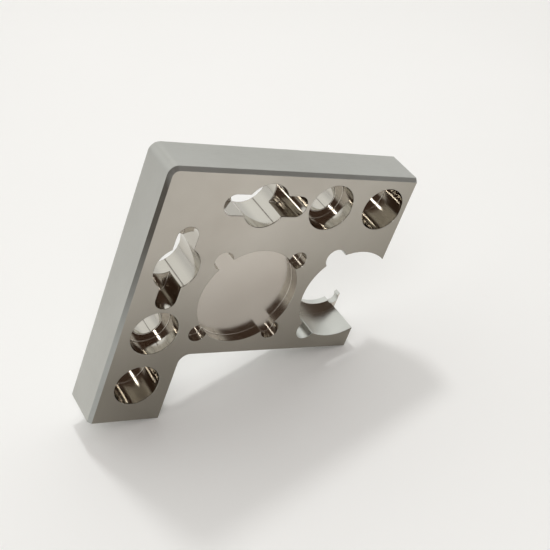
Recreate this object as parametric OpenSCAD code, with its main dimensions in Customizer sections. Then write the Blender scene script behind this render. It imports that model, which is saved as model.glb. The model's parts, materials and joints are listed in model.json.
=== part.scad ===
// T-slot corner bracket: one machined plate in an L shape.
//
// The plate is drawn lying flat, as it would sit on a milling table.  Its
// outer corner is at X = 0, Y = 0, the long top arm runs along +X, the side
// arm runs along -Y, and the front face, which all pockets are cut from, is
// at Z = plate_t.  stand_up() then sets the finished plate on its two feet:
// the end of the side arm and the lower corner of the block.

/* [Plate] */
// Length of the top edge, measured from the outer corner
top_len = 62; // [60:0.5:72]
// Length of the side arm, measured from the top edge
side_len = 64.4; // [61:0.2:74]
// Thickness of the plate
plate_t = 10; // [9:0.5:14]
// Width of the side arm below the block
arm_w = 17.1; // [15.5:0.1:19]
// Depth of the block, measured from the top edge
block_h = 46.3; // [45:0.1:52]
// Radius of the outer corner, through the thickness
corner_r = 2.2; // [1.6:0.1:4]
// Radius of the inside corner between the arm and the block
inner_r = 2.5; // [1:0.1:5]
// Width of the chamfer along the front of the two outer edges
edge_chamfer = 0.8; // [0.4:0.1:1.5]

/* [Hole rows] */
// Centre line of the top row, from the top edge
top_row_in = 8; // [7.4:0.1:9]
// Centre line of the side row, from the outer side edge
side_row_in = 8.8; // [8:0.1:9.4]
// First slot centre of the top row, from the outer side edge
top_row_start = 24.8; // [23:0.1:26]
// First slot centre of the side row, from the top edge
side_row_start = 23.6; // [22:0.1:25]
// Distance from a slot centre to the counterbored hole beside it
slot_to_hole = 16.6; // [16.2:0.1:18]
// Distance from the counterbored hole to the blind bore at the arm's end
hole_pitch = 14.1; // [12:0.1:14.6]

/* [Holes] */
// Diameter of the blind bore at each arm's end
end_bore_d = 10.4; // [8:0.1:11]
// Depth of the blind bore
end_bore_depth = 7; // [4:0.1:8]
// Diameter of the screw hole
screw_d = 7; // [5:0.1:8.5]
// Diameter of the counterbore for the screw's head
head_d = 11; // [9.5:0.1:11.6]
// Depth of the counterbore
head_depth = 4.5; // [3:0.1:6]

/* [Slots] */
// Overall length of a slot
slot_len = 20.4; // [16:0.1:21]
// Width of a slot
slot_w = 5; // [3.5:0.1:6.5]
// Depth of a slot below the front face
slot_depth = 5.8; // [4:0.1:7.5]
// Diameter of the through hole in the middle of a slot
eye_d = 10.5; // [8:0.1:11]

/* [Pocket] */
// Centre line shared by the pocket and the side cut, from the top edge
centre_line = 31.1; // [30.2:0.1:31.8]
// Pocket centre, from the outer side edge
pocket_x = 28.8; // [28.2:0.1:29.8]
// Diameter of the round pocket
pocket_d = 24.1; // [20:0.1:25]
// Depth of the pocket
pocket_depth = 2.3; // [1:0.1:4]
// Diameter of the relief in each corner of the pocket
pocket_ear_d = 4.4; // [3.6:0.1:5]
// Distance of each relief from the pocket's centre, along and across
pocket_ear_in = 9.4; // [8.4:0.1:9.6]

/* [Side cut] */
// Centre of the side cut, from the outer side edge
cut_x = 55.4; // [54.6:0.1:57]
// Diameter of the wide part of the side cut
cut_d = 23.6; // [22:0.1:24]
// Thickness of the ledge left at the back of the wide part
ledge_t = 1.65; // [1:0.05:4]
// Diameter of the opening through the ledge
cut_bore_d = 17.6; // [15:0.1:18.5]
// Angle of all the reliefs, up or down from the line along the top edge
relief_turn = 55; // [50:1:60]
// Diameter of the reliefs on the inner side of the wide part
cut_ear_d = 5; // [3.6:0.1:5.4]
// Distance of those reliefs from the cut's centre
cut_ear_out = 12; // [11:0.1:12.6]
// Diameter of the four reliefs round the opening in the ledge
ledge_ear_d = 2.6; // [2:0.1:3]
// Distance of those reliefs from the cut's centre
ledge_ear_out = 9; // [8.6:0.1:9.2]

/* [Hidden] */
$fn = 96;

// Amount by which a cutter runs past the face it cuts through
past = 1;

// The arm's end and the block's lower corner both touch the ground when
// the plate is turned by this angle in its own plane.
stance = atan2(side_len - block_h, top_len - arm_w);

// Reach of the turned plate to the left, to the right and down from its
// outer corner, which puts the origin under the middle of the plate.
reach_left = side_len * sin(stance);
reach_right = top_len * cos(stance);
reach_down = arm_w * sin(stance) + side_len * cos(stance);

// Hole centres as [x, y], for the slot, the counterbored hole and the bore
top_row = [for (along = [top_row_start,
                         top_row_start + slot_to_hole,
                         top_row_start + slot_to_hole + hole_pitch])
           [along, -top_row_in]];
side_row = [for (along = [side_row_start,
                          side_row_start + slot_to_hole,
                          side_row_start + slot_to_hole + hole_pitch])
            [side_row_in, -along]];

// ---- Flat outline ------------------------------------------------------

// The scrap between a square corner at the origin and an arc of radius r
// within it, whose centre lies towards +X and -Y.  Taken off an outer corner
// it rounds the corner, and added to an inside corner it fills the corner.
module corner_scrap(r) {
    difference() {
        translate([-past, -r]) square([r + past, r + past]);
        translate([r, -r]) circle(r);
    }
}

module outline() {
    difference() {
        union() {
            translate([0, -block_h]) square([top_len, block_h]);
            translate([0, -side_len]) square([arm_w, side_len]);
            translate([arm_w, -block_h]) corner_scrap(inner_r);
        }
        corner_scrap(corner_r);
    }
}

// ---- Cutters, all measured down from the front face ----------------------

// A round cutter at c = [x, y], sunk to the depth
module round_cut(c, d, depth) {
    translate([c.x, c.y, plate_t - depth]) cylinder(d = d, h = depth + past);
}

// A round hole at c = [x, y], right through the plate
module through_hole(c, d) {
    translate([c.x, c.y, -past]) cylinder(d = d, h = plate_t + 2 * past);
}

// Straight chamfer along the front of an edge that runs along +X
module edge_bevel(length) {
    translate([-past, 0, plate_t])
        rotate([90, 0, 90])
            linear_extrude(length + 2 * past)
                polygon([[-edge_chamfer, past], [-edge_chamfer, 0],
                         [0, -edge_chamfer], [past, -edge_chamfer],
                         [past, past]]);
}

// The same chamfer carried round the outer corner
module corner_bevel() {
    translate([corner_r, -corner_r, plate_t])
        rotate([0, 0, 90])
            rotate_extrude(angle = 90)
                polygon([[corner_r - edge_chamfer, past],
                         [corner_r - edge_chamfer, 0],
                         [corner_r, -edge_chamfer],
                         [corner_r + past, -edge_chamfer],
                         [corner_r + past, past]]);
}

// One chamfer runs along both outer edges and round the corner.
module outer_bevels() {
    edge_bevel(top_len);
    mirror([1, 1, 0]) edge_bevel(side_len);
    corner_bevel();
}

// A slot with round ends, centred at the origin, along X
module slot_shape() {
    straight = slot_len - slot_w;
    translate([-straight / 2, -slot_w / 2]) square([straight, slot_w]);
    for (side = [-1, 1]) translate([side * straight / 2, 0]) circle(d = slot_w);
}

// A blind slot with a through hole in its middle
module keyed_slot(c, turn) {
    translate([c.x, c.y, plate_t - slot_depth])
        rotate([0, 0, turn])
            linear_extrude(slot_depth + past) slot_shape();
    through_hole(c, eye_d);
}

// Slot, counterbored screw hole and blind bore along one arm
module hole_row(row, turn) {
    keyed_slot(row[0], turn);
    through_hole(row[1], screw_d);
    round_cut(row[1], head_d, head_depth);
    round_cut(row[2], end_bore_d, end_bore_depth);
}

// Round pocket with a relief in each of its four corners
module pocket() {
    round_cut([pocket_x, -centre_line], pocket_d, pocket_depth);
    for (sx = [-1, 1], sy = [-1, 1])
        round_cut([pocket_x + sx * pocket_ear_in,
                   -centre_line + sy * pocket_ear_in],
                  pocket_ear_d, pocket_depth);
}

// A point out from the middle of the side cut, at the reliefs' angle on the
// side given by sx and sy
function relief(out, sx, sy) =
    [cut_x + sx * out * cos(relief_turn),
     -centre_line + sy * out * sin(relief_turn)];

// Stepped round seat that opens through the block's edge: a wide part from
// the front, with two reliefs on its inner side, and a narrower opening
// with four small reliefs through the ledge behind it.
module side_cut() {
    cut_depth = plate_t - ledge_t;
    round_cut([cut_x, -centre_line], cut_d, cut_depth);
    for (sy = [-1, 1])
        round_cut(relief(cut_ear_out, -1, sy), cut_ear_d, cut_depth);
    through_hole([cut_x, -centre_line], cut_bore_d);
    for (sx = [-1, 1], sy = [-1, 1])
        through_hole(relief(ledge_ear_out, sx, sy), ledge_ear_d);
}

// ---- The one piece -----------------------------------------------------

module flat_plate() {
    difference() {
        linear_extrude(plate_t) outline();
        outer_bevels();
        hole_row(top_row, 0);
        hole_row(side_row, 90);
        pocket();
        side_cut();
    }
}

// Sets the flat plate upright on its two feet, with the front face towards
// -Y and the origin on the ground under its middle.
module stand_up() {
    translate([(reach_left - reach_right) / 2, plate_t / 2, reach_down])
        rotate([90, 0, 0])
            rotate([0, 0, -stance])
                children();
}

module plate() {
    color([0.68, 0.68, 0.67]) stand_up() flat_plate();
}

plate();
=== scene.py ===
# %% [markdown]
# # A machined T-slot corner bracket
#
# This lesson dresses one solid plate of bright steel.  The plate comes as a
# finished solid, with every pocket and bore in its true place, so its shape
# is not modelled again.  What it lacks is what a workshop gives it: the fine
# break on each edge, the different finishes that face mills, end mills and
# boring heads leave behind, and a studio to see them in.
#
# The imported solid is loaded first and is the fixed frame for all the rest.

import json
import math

import bmesh
import bpy
from mathutils import Matrix, Vector


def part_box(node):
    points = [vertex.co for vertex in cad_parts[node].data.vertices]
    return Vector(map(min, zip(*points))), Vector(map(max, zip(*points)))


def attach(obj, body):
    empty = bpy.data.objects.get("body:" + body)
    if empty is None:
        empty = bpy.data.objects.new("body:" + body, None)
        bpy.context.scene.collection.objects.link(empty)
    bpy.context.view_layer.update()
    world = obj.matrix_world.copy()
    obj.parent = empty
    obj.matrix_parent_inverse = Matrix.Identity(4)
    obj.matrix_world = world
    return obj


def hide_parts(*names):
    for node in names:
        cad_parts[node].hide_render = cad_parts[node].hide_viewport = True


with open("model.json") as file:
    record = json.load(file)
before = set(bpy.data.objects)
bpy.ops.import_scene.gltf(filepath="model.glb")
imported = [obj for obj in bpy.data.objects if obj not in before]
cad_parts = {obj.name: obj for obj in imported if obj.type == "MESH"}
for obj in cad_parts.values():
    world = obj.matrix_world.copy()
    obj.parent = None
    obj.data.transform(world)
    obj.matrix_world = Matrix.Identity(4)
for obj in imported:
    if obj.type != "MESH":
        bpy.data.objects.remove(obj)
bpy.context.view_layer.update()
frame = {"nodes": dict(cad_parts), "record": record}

MM = 0.001

plate_low, plate_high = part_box("plate")
plate_size = plate_high - plate_low
plate_middle = (plate_low + plate_high) / 2
print("plate size in mm", [round(v / MM, 2) for v in plate_size])

# %% [markdown]
# ## Where the plate's own axes point
#
# The plate stands on the end of one arm and on one corner, so its edges are
# not level.  Grain that follows the edges needs the plate's own axes.  The
# record lists where each bore is, and the line through the bores of the top
# arm is one of those axes.  Taking it from there keeps the finish right when
# the part is resized.

# %% The plate's own axes
mounts = {m["name"]: Vector(m["pos_m"]) for m in frame["record"]["mounts"]}
along_top = (mounts["top_end_bore"] - mounts["top_slot_eye"]).normalized()
stance = math.atan2(-along_top.z, along_top.x)
print("the top edge falls by", round(math.degrees(stance), 2), "degrees")

# %% [markdown]
# ## The camera
#
# A small part looks right through a long lens, which keeps its edges almost
# parallel.  The camera stands to the left and looks down, so the two outer
# sides, the front face and the depth of every bore all show at once.  Its
# place is worked out from a point on the front face, a distance and two
# angles, which is easier to adjust than three coordinates.

# %% Camera
LENS_MM = 73.7
AZIMUTH = math.radians(-27.77)
ELEVATION = math.radians(41.21)
ROLL = math.radians(-0.46)
DISTANCE = 0.2429
AIM_RIGHT = 5.0 * MM
AIM_DOWN = 2.65 * MM
NEAREST_SEEN = 10 * MM

aim = Vector((plate_middle.x + AIM_RIGHT, plate_low.y, plate_middle.z - AIM_DOWN))
towards_camera = Vector((math.sin(AZIMUTH) * math.cos(ELEVATION),
                         -math.cos(AZIMUTH) * math.cos(ELEVATION),
                         math.sin(ELEVATION)))

camera_data = bpy.data.cameras.new("camera")
camera_data.lens = LENS_MM
camera_data.clip_start = NEAREST_SEEN
camera = bpy.data.objects.new("camera", camera_data)
bpy.context.scene.collection.objects.link(camera)
camera.location = aim + towards_camera * DISTANCE
facing = towards_camera.to_track_quat("Z", "Y").to_matrix()
camera.rotation_euler = (facing @ Matrix.Rotation(ROLL, 3, "Z")).to_euler()
bpy.context.scene.camera = camera
print("camera at", [round(v, 4) for v in camera.location])

# %% [markdown]
# ## Small helpers for shader nodes
#
# A procedural finish is a chain of nodes.  A few short helpers keep the
# chains readable: one adds a node and sets its plain settings, one sets or
# links the inputs by name, and one starts a material.

# %% Node helpers
def add_node(tree, kind, **settings):
    """Adds a node and sets its properties."""
    node = tree.nodes.new(kind)
    for name, value in settings.items():
        setattr(node, name, value)
    return node


def feed(tree, node, **inputs):
    """Sets inputs by name, or links them when the value is a socket.
    An underscore in a name stands for a space."""
    for name, value in inputs.items():
        socket = node.inputs[name.replace("_", " ")]
        if isinstance(value, bpy.types.NodeSocket):
            tree.links.new(value, socket)
        else:
            socket.default_value = value
    return node


def blank_material(name):
    """A material with only its output and a Principled shader."""
    material = bpy.data.materials.new(name)
    material.use_nodes = True
    tree = material.node_tree
    shader = tree.nodes["Principled BSDF"]
    return material, tree, shader


print("node helpers are ready")

# %% [markdown]
# ## Coordinates in millimetres along the plate's edges
#
# Machining marks follow the plate, not the room.  Object coordinates are
# scaled to millimetres and turned about the plate's thickness until X runs
# along the top edge.  The clouding and the grain of every finish start from
# this vector, so a number such as 0.4 in them means 0.4 cycles in a
# millimetre.

# %% Plate coordinates
EVEN = (1.0, 1.0, 1.0)


def plate_coordinates(tree, stretch=EVEN):
    """Object coordinates in mm, with X along the top edge, stretched."""
    place = add_node(tree, "ShaderNodeTexCoord")
    turn = add_node(tree, "ShaderNodeMapping", vector_type="POINT")
    feed(tree, turn, Vector=place.outputs["Object"],
         Rotation=(0.0, -stance, 0.0),
         Scale=(1 / MM, 1 / MM, 1 / MM))
    pull = add_node(tree, "ShaderNodeVectorMath", operation="MULTIPLY")
    tree.links.new(turn.outputs["Vector"], pull.inputs[0])
    pull.inputs[1].default_value = stretch
    return pull.outputs["Vector"]


print("textures on the plate read millimetres")

# %% [markdown]
# ## From a noise to a tint
#
# A noise texture gives a number that wanders between 0 and 1, mostly near the
# middle.  One helper spreads that middle over any two values, such as two
# roughnesses, and one blends two colours by it.

# %% Texture helpers
def noise(tree, vector, scale, detail=3.0, roughness=0.5):
    """A noise texture's value, 0 to 1, with scale cycles in a unit of vector."""
    texture = add_node(tree, "ShaderNodeTexNoise")
    feed(tree, texture, Vector=vector, Scale=scale, Detail=detail,
         Roughness=roughness)
    return texture.outputs["Fac"]


def between(tree, value, low, high, start=0.3, end=0.7):
    """Maps start to low and end to high, and keeps within those two."""
    span = add_node(tree, "ShaderNodeMapRange")
    feed(tree, span, Value=value, From_Min=start, From_Max=end,
         To_Min=low, To_Max=high)
    return span.outputs["Result"]


def blend(tree, factor, first, second):
    """Blends a colour, or a colour's socket, into a second colour."""
    if not isinstance(first, bpy.types.NodeSocket):
        first = (*first, 1.0)
    mix = add_node(tree, "ShaderNodeMix", data_type="RGBA")
    feed(tree, mix, Factor=factor, A=first, B=(*second, 1.0))
    return mix.outputs["Result"]


print("texture helpers are ready")

# %% [markdown]
# ## Axes and sums
#
# A fade on the plate and a dark part of the room are made alike: each piece
# of it follows one axis, and the pieces are added or multiplied.  So there
# is one helper that takes a vector apart and one that does the sums.

# %% Axes and sums
def axes_of(tree, vector):
    """A vector's X, Y and Z as separate sockets."""
    split = add_node(tree, "ShaderNodeSeparateXYZ")
    return feed(tree, split, Vector=vector).outputs


def maths(tree, operation, first, second=0.0):
    """A maths node on one or two sockets or numbers."""
    node = add_node(tree, "ShaderNodeMath", operation=operation)
    for socket, value in zip(node.inputs, (first, second)):
        if isinstance(value, bpy.types.NodeSocket):
            tree.links.new(value, socket)
        else:
            socket.default_value = value
    return node.outputs["Value"]


print("axes and sums are ready")

# %% [markdown]
# ## Two fades that stand in for a real room
#
# Metal mirrors the floor in front of it.  In a real room the floor's lit and
# shaded parts differ more than a screen can show, and its far end is dark.
# A plain pale floor has no such parts, so two fades paint that shade on instead,
# as a painted reflection of the floor's shaded parts.  The broad faces darken
# towards the feet and the sides, and the left chamfer darkens towards the outer
# corner.
#
# Both read the place on the plate and not the view, so they stay where they
# are when the camera moves.  Each span holds the two places between which a
# fade changes, measured to the right or upwards from the origin, which is on
# the ground under the plate's middle.

# %% Fades
FOOT_SPAN = (2 * MM, 46 * MM)
RIGHT_SPAN = (0.0, 40 * MM)
RIGHT_SHARE = 0.5
LEFT_SPAN = (-22 * MM, -6 * MM)
LEFT_SHARE = 0.3
CORNER_SPAN = (-18 * MM, -15 * MM)
HIGH_SPAN = (26 * MM, 52 * MM)


def painted_shade_towards_foot(tree):
    """How much painted shade the broad faces get: 1 at the feet, 0 high in the
    middle, and some at either side.
    """
    place = axes_of(tree, add_node(tree, "ShaderNodeTexCoord").outputs["Object"])
    low = between(tree, place["Z"], 1.0, 0.0, *FOOT_SPAN)
    right = between(tree, place["X"], 0.0, RIGHT_SHARE, *RIGHT_SPAN)
    left = between(tree, place["X"], LEFT_SHARE, 0.0, *LEFT_SPAN)
    sides = maths(tree, "ADD", right, left)
    return maths(tree, "MINIMUM", maths(tree, "ADD", low, sides), 1.0)


def painted_shade_towards_corner(tree):
    """How much painted shade the left chamfer gets: 1 on the left edge near the
    outer corner, and 0 on the top edge.
    """
    place = axes_of(tree, add_node(tree, "ShaderNodeTexCoord").outputs["Object"])
    left = between(tree, place["X"], 1.0, 0.0, *CORNER_SPAN)
    high = between(tree, place["Z"], 0.0, 1.0, *HIGH_SPAN)
    return maths(tree, "MULTIPLY", left, high)


print("the foot's fade ends", round(FOOT_SPAN[1] / MM), "mm up")

# %% [markdown]
# ## Bright steel with a grain
#
# Every surface is the same bright steel, so one function makes them all.  It
# gives each a clouding that is only just visible and a grain that runs the
# way the tool ran.  The grain drives both the roughness and a very shallow
# bump, so that light breaks on it as it does on real tool marks.

# %% Steel
CLOUD_SCALE = 0.05
GRAIN_DETAIL = 5.0
GRAIN_ROUGHNESS = 0.6


def steel(name, tints, rough, rough_spread, relief, grain_scale=0.5,
          stretch=EVEN, fade=None, painted_shade=None):
    """Bright steel between a light and a dark tint, with relief in mm and
    a grain pulled out by stretch.  Where fade is given, its value blends the
    tint towards painted_shade, a colour of painted shade."""
    material, tree, shader = blank_material(name)
    light, dark = tints
    clouds = noise(tree, plate_coordinates(tree), CLOUD_SCALE)
    grain = noise(tree, plate_coordinates(tree, stretch), grain_scale,
                  GRAIN_DETAIL, GRAIN_ROUGHNESS)
    tint = blend(tree, between(tree, clouds, 0.0, 1.0), dark, light)
    if fade:
        # Painted shade: the fade darkens the tint where it is high.
        tint = blend(tree, fade(tree), tint, painted_shade)
    bump = add_node(tree, "ShaderNodeBump")
    feed(tree, bump, Strength=1.0, Distance=relief * MM, Height=grain)
    feed(tree, shader, Base_Color=tint, Metallic=1.0,
         Roughness=between(tree, grain, rough - rough_spread,
                           rough + rough_spread),
         Normal=bump.outputs["Normal"])
    return material


print("one cloud is about", round(1 / CLOUD_SCALE), "mm wide")

# %% [markdown]
# ## Seven finishes of one metal
#
# The tints are a shade apart, and the finishes differ more in how the tool
# left them: a boring head leaves a near mirror, the side of an end mill a
# soft sheen, and a face mill a satin face.  The floors of the bores and the
# pocket are a little warmer, the outer edges a little cooler, and the milled
# walls of the side cut the palest.

# %% Steel finishes
PLAIN = ((0.585, 0.565, 0.515), (0.530, 0.505, 0.455))
COOL = ((0.550, 0.553, 0.525), (0.502, 0.503, 0.475))
WARM = ((0.620, 0.580, 0.525), (0.560, 0.515, 0.460))
PALE = ((0.690, 0.698, 0.665), (0.610, 0.618, 0.585))
SATIN = ((0.585, 0.553, 0.500), (0.490, 0.455, 0.405))
# Painted shade: the broad faces turn towards this colour near the feet.
SATIN_PAINTED_SHADE = (0.290, 0.270, 0.232)
# The chamfers' tints are darker than the plain steel's: painted shade.
SHADED = ((0.500, 0.515, 0.500), (0.435, 0.450, 0.435))
# Painted shade: the left chamfer turns towards this colour near the outer corner.
CORNER_PAINTED_SHADE = (0.130, 0.120, 0.105)

ACROSS = (1.0, 6.0, 1.0)
ROUND_THE_BORE = (0.4, 9.0, 0.4)

finishes = {
    # The faced finish takes painted shade towards the feet and the sides.
    "faced": steel("faced_steel", SATIN, rough=0.33, rough_spread=0.03,
                   relief=0.0005, fade=painted_shade_towards_foot, painted_shade=SATIN_PAINTED_SHADE),
    "edge": steel("edge_milled_steel", COOL, rough=0.42, rough_spread=0.05,
                  relief=0.0030, stretch=ACROSS),
    "bore": steel("bored_steel", PLAIN, rough=0.12, rough_spread=0.02,
                  relief=0.0004, stretch=ROUND_THE_BORE),
    "sunk": steel("bored_floor_steel", WARM, rough=0.14, rough_spread=0.03,
                  relief=0.0006, grain_scale=0.8),
    "pocket": steel("end_milled_steel", WARM, rough=0.24, rough_spread=0.03,
                    relief=0.0008),
    "milled": steel("side_milled_steel", PALE, rough=0.36, rough_spread=0.04,
                    relief=0.0008, grain_scale=0.4, stretch=ACROSS),
    # The chamfer finish takes painted shade towards the outer corner.
    "chamfer": steel("chamfered_steel", SHADED, rough=0.52, rough_spread=0.04,
                     relief=0.0015, grain_scale=0.8, fade=painted_shade_towards_corner,
                     painted_shade=CORNER_PAINTED_SHADE),
}
print("finishes", list(finishes))

# %% [markdown]
# ## A welded copy of the solid
#
# The frame's own mesh is loose triangles and must stay as it is.  A copy is
# welded into one skin.  Its sharp edges show where one cut ends and the next
# begins, and they are marked as the edges that a machinist would break.
#
# Nothing on this plate repeats by a rule or follows a path, as a row of
# rivets or a mesh would, so the scene has no Geometry Nodes tree: every hole
# comes straight from the solid.

# %% Weld
WELD = 0.002 * MM
SHARP = math.radians(35)


def is_sharp(edge):
    """Whether the two faces at an edge meet at more than a slight angle."""
    return edge.calc_face_angle(math.pi) > SHARP


solid = bmesh.new()
solid.from_mesh(frame["nodes"]["plate"].data)
bmesh.ops.remove_doubles(solid, verts=solid.verts, dist=WELD)
sharp_edges = [edge for edge in solid.edges if is_sharp(edge)]
for edge in sharp_edges:
    edge.smooth = False
print("welded faces", len(solid.faces), "sharp edges", len(sharp_edges))

# %% [markdown]
# ## Patches between sharp edges
#
# The skin falls into patches wherever an edge is sharp, and each patch was
# cut by one tool.  A patch starts from any face that is left and spreads
# over its smooth edges until it meets only sharp ones.

# %% Patches
def patches(skin):
    """Groups of faces that join without a sharp edge."""
    left = set(skin.faces)
    while left:
        patch = [left.pop()]
        for face in patch:
            for edge in face.edges:
                if is_sharp(edge):
                    continue
                for other in edge.link_faces:
                    if other in left:
                        left.remove(other)
                        patch.append(other)
        yield patch


surfaces = list(patches(solid))
print("patches", len(surfaces))

# %% [markdown]
# ## Which tool cut which surface
#
# A patch's direction and depth say which tool cut it: a patch that looks
# forwards or back on the outside was faced, one that lies deeper is a floor,
# and the walls are outer edges or bores.  The record's box for the side cut
# tells its milled walls from the bored ones, and the shallow wall of the
# pocket, which comes close to that cut, is told by its depth.
#
# A patch is placed by its middle and not by one of its faces, because a round
# wall has many faces of one size and none of them stands for the rest.

# %% Sort by tool
DEPTH_SLACK = 0.05 * MM
SHALLOW_DEPTH = 3 * MM
BROAD_WALL = 12 * MM * MM
CUT_REACH = 15 * MM
SQUARE_ON = 0.95
SLANTED = 0.3

openings = {o["name"]: o["box_m"] for o in frame["record"]["physics"]["openings"]}
cut_low, cut_high = (Vector(corner) for corner in openings["side_seat"])
cut_middle = (cut_low + cut_high) / 2


def middle_of(patch):
    """The middle of a patch, with each face counted by its area."""
    total = sum(face.calc_area() for face in patch)
    return sum((face.calc_center_median() * face.calc_area()
                for face in patch), Vector()) / total


def tool_for(patch):
    """Which finish a patch has, from its direction, depth and size."""
    widest = max(patch, key=lambda face: face.calc_area())
    lean = abs(widest.normal.y)
    middle = middle_of(patch)
    depth = middle.y - plate_low.y
    shallow = depth < SHALLOW_DEPTH
    if lean > SQUARE_ON:
        if depth < DEPTH_SLACK or depth > plate_size.y - DEPTH_SLACK:
            return "faced"
        return "pocket" if shallow else "sunk"
    if lean > SLANTED:
        return "chamfer"
    if widest.calc_area() > BROAD_WALL:
        return "edge"
    off_cut = math.hypot(middle.x - cut_middle.x, middle.z - cut_middle.z)
    return "milled" if off_cut < CUT_REACH and not shallow else "bore"


finish_order = list(finishes)
tally = dict.fromkeys(finish_order, 0)
for patch in surfaces:
    tool = tool_for(patch)
    tally[tool] += 1
    for face in patch:
        face.material_index = finish_order.index(tool)
        face.smooth = True
print("patches by tool", tally)

# %% [markdown]
# ## How much each edge loses
#
# No machinist leaves an edge razor sharp.  A pass with a fine stone or a
# deburring tool takes a tenth or two of a millimetre off, and that thin line
# is what catches the light round every pocket.  Each sharp edge gets a weight
# that says how much of that it loses.  The back and the thin ledge get a
# finer break, because the points between the ledge's reliefs have little
# metal to give.

# %% Weigh the edges
EDGE_BREAK = 0.16 * MM
BACK_BREAK = 0.05 * MM
BACK_ZONE = 2 * MM

weights = solid.edges.layers.float.new("bevel_weight_edge")
for edge in solid.edges:
    if edge.smooth:
        continue
    nearest = min(vert.co.y for vert in edge.verts)
    at_back = nearest > plate_high.y - BACK_ZONE
    edge[weights] = BACK_BREAK / EDGE_BREAK if at_back else 1.0

skin = bpy.data.meshes.new("bright_plate")
solid.to_mesh(skin)
solid.free()
for tool in finish_order:
    skin.materials.append(finishes[tool])
print("the front's edges lose", round(EDGE_BREAK / MM, 2), "mm")

# %% [markdown]
# ## Broken edges
#
# The Bevel modifier cuts the marked edges by their weights, and its hardened
# normals keep the broad faces flat to the eye.  The result is taken as a
# plain mesh with no modifier left on it, and it takes the place of the plain
# solid.

# %% Break the edges
BREAK_STEPS = 2

rough_plate = bpy.data.objects.new("rough_plate", skin)
bpy.context.scene.collection.objects.link(rough_plate)

bevel = rough_plate.modifiers.new("edge_break", "BEVEL")
bevel.width = EDGE_BREAK
bevel.segments = BREAK_STEPS
bevel.limit_method = "WEIGHT"
bevel.use_clamp_overlap = False
bevel.loop_slide = False
bevel.harden_normals = True

graph = bpy.context.evaluated_depsgraph_get()
finished = bpy.data.meshes.new_from_object(rough_plate.evaluated_get(graph))
finished.name = "bright_plate"
bright_plate = bpy.data.objects.new("bright_plate", finished)
bpy.context.scene.collection.objects.link(bright_plate)
bpy.data.objects.remove(rough_plate)
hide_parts("plate")
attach(bright_plate, "root")
print("finished faces", len(finished.polygons))

# %% [markdown]
# ## The floor
#
# The plate stands on a wide sheet of pale card.  The sheet is far larger
# than the view, so that bright metal has something pale to mirror in every
# low direction.  Card is dull and never quite one shade, so a slow noise
# moves it between two whites.

# %% Floor
FLOOR_RADIUS = 1.6
FLOOR_SIDES = 96
CARD_DARK = (0.89, 0.89, 0.875)
CARD_LIGHT = (0.93, 0.93, 0.92)
CARD_ROUGHNESS = 0.7
CARD_SPECULAR = 0.2
SHADES_PER_METRE = 9.0

floor_mesh = bpy.data.meshes.new("floor")
disc = bmesh.new()
bmesh.ops.create_circle(disc, cap_ends=True, radius=FLOOR_RADIUS,
                        segments=FLOOR_SIDES)
disc.to_mesh(floor_mesh)
disc.free()
floor = bpy.data.objects.new("floor", floor_mesh)
bpy.context.scene.collection.objects.link(floor)
floor.location.z = plate_low.z

card, card_tree, card_shader = blank_material("pale_card")
card_place = add_node(card_tree, "ShaderNodeTexCoord").outputs["Object"]
shades = noise(card_tree, card_place, SHADES_PER_METRE, detail=4.0)
feed(card_tree, card_shader, Roughness=CARD_ROUGHNESS,
     Specular_IOR_Level=CARD_SPECULAR,
     Base_Color=blend(card_tree, shades, CARD_DARK, CARD_LIGHT))
floor_mesh.materials.append(card)
print("floor radius in m", FLOOR_RADIUS)

# %% [markdown]
# ## The studio's pale cove
#
# Metal has hardly any colour of its own: it shows the room.  Here the room
# starts as a pale cove all round, which grows paler as it rises.  The
# world's shader knows only a direction.  Its X, Y and Z run from -1 to 1,
# and each span below is a range of one of those.

# %% Cove
COVE_LOW = (0.79, 0.79, 0.775)
COVE_HIGH = (1.00, 1.00, 0.975)
COVE_SPAN = (0.25, 0.55)

world = bpy.data.worlds.new("studio")
bpy.context.scene.world = world
world.use_nodes = True
room = world.node_tree

direction = add_node(room, "ShaderNodeTexCoord").outputs["Generated"]
look = axes_of(room, direction)
rise = between(room, look["Z"], 0.0, 1.0, *COVE_SPAN)
cove = blend(room, rise, COVE_LOW, COVE_HIGH)
print("the cove is palest where Z is above", COVE_SPAN[1])

# %% [markdown]
# ## The dim side and the boom
#
# The space behind the camera is dim, and the split matters.  A wall that is
# cut right through the plate looks out of the back and mirrors the pale
# cove, while a wall with a floor below it sends the light forwards again and
# mirrors the dim space, so blind bores turn dark and look deep.  A narrow
# boom hangs over the back of the cove and draws the fine dark line down each
# through hole.

# %% Dim side and boom
DIM = (0.098, 0.062, 0.045)
DIM_FRONT_SPAN = (-0.25, 0.05)
DIM_RISE_SPAN = (0.08, 0.24)
BOOM_AT = -0.05
BOOM_SIDE_SPAN = (0.0175, 0.0325)
BOOM_BACK_SPAN = (0.25, 0.35)
BOOM_RISE_SPAN = (0.30, 0.50)

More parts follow.
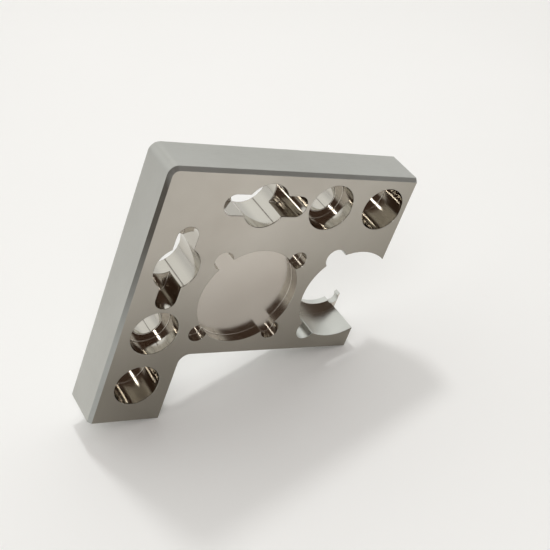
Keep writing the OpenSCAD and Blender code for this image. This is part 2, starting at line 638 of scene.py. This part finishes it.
in_front = between(room, look["Y"], 1.0, 0.0, *DIM_FRONT_SPAN)
raised = between(room, look["Z"], 0.0, 1.0, *DIM_RISE_SPAN)
dim_part = maths(room, "MULTIPLY", in_front, raised)

aside = maths(room, "ABSOLUTE", maths(room, "SUBTRACT", look["X"], BOOM_AT))
boom_line = between(room, aside, 1.0, 0.0, *BOOM_SIDE_SPAN)
boom_back = between(room, look["Y"], 0.0, 1.0, *BOOM_BACK_SPAN)
boom_high = between(room, look["Z"], 0.0, 1.0, *BOOM_RISE_SPAN)
boom_end = maths(room, "MULTIPLY", boom_back, boom_high)
boom_part = maths(room, "MULTIPLY", boom_line, boom_end)

dark_part = maths(room, "MAXIMUM", dim_part, boom_part)
feed(room, room.nodes["Background"], Color=blend(room, dark_part, cove, DIM))
print("the dim side is full where Z is above", DIM_RISE_SPAN[1])

# %% [markdown]
# ## The lamps
#
# The key lamp throws the shadow.  It hangs behind the plate and a little to
# the right, so the shadow falls towards the viewer, and it is small, so the
# shadow's edge grows softer only slowly.  A broad fill far behind the camera
# keeps that shadow pale.  Neither is seen in the metal.  The last lamp is the
# other way round: small and weak, it lights next to nothing, but the blind
# bores mirror it as bright lines along their walls.

# %% Lamps
def lamp(name, place_mm, width_mm, watts, seen_in_metal):
    """A round area lamp at a place in mm that looks at the plate."""
    data = bpy.data.lights.new(name, "AREA")
    data.shape = "DISK"
    data.size = width_mm * MM
    data.energy = watts
    obj = bpy.data.objects.new(name, data)
    bpy.context.scene.collection.objects.link(obj)
    obj.location = Vector(place_mm) * MM
    away = obj.location - plate_middle
    obj.rotation_euler = away.to_track_quat("Z", "Y").to_euler()
    obj.visible_glossy = seen_in_metal


lamp("key_lamp", place_mm=(65, 198, 410), width_mm=55, watts=0.47,
     seen_in_metal=False)
lamp("fill_lamp", place_mm=(-350, -600, 950), width_mm=800, watts=3.40,
     seen_in_metal=False)
lamp("camera_lamp", place_mm=(-180, -330, 355), width_mm=55, watts=0.11,
     seen_in_metal=True)
bpy.context.scene.view_settings.view_transform = "Standard"
print("lamps are hung")
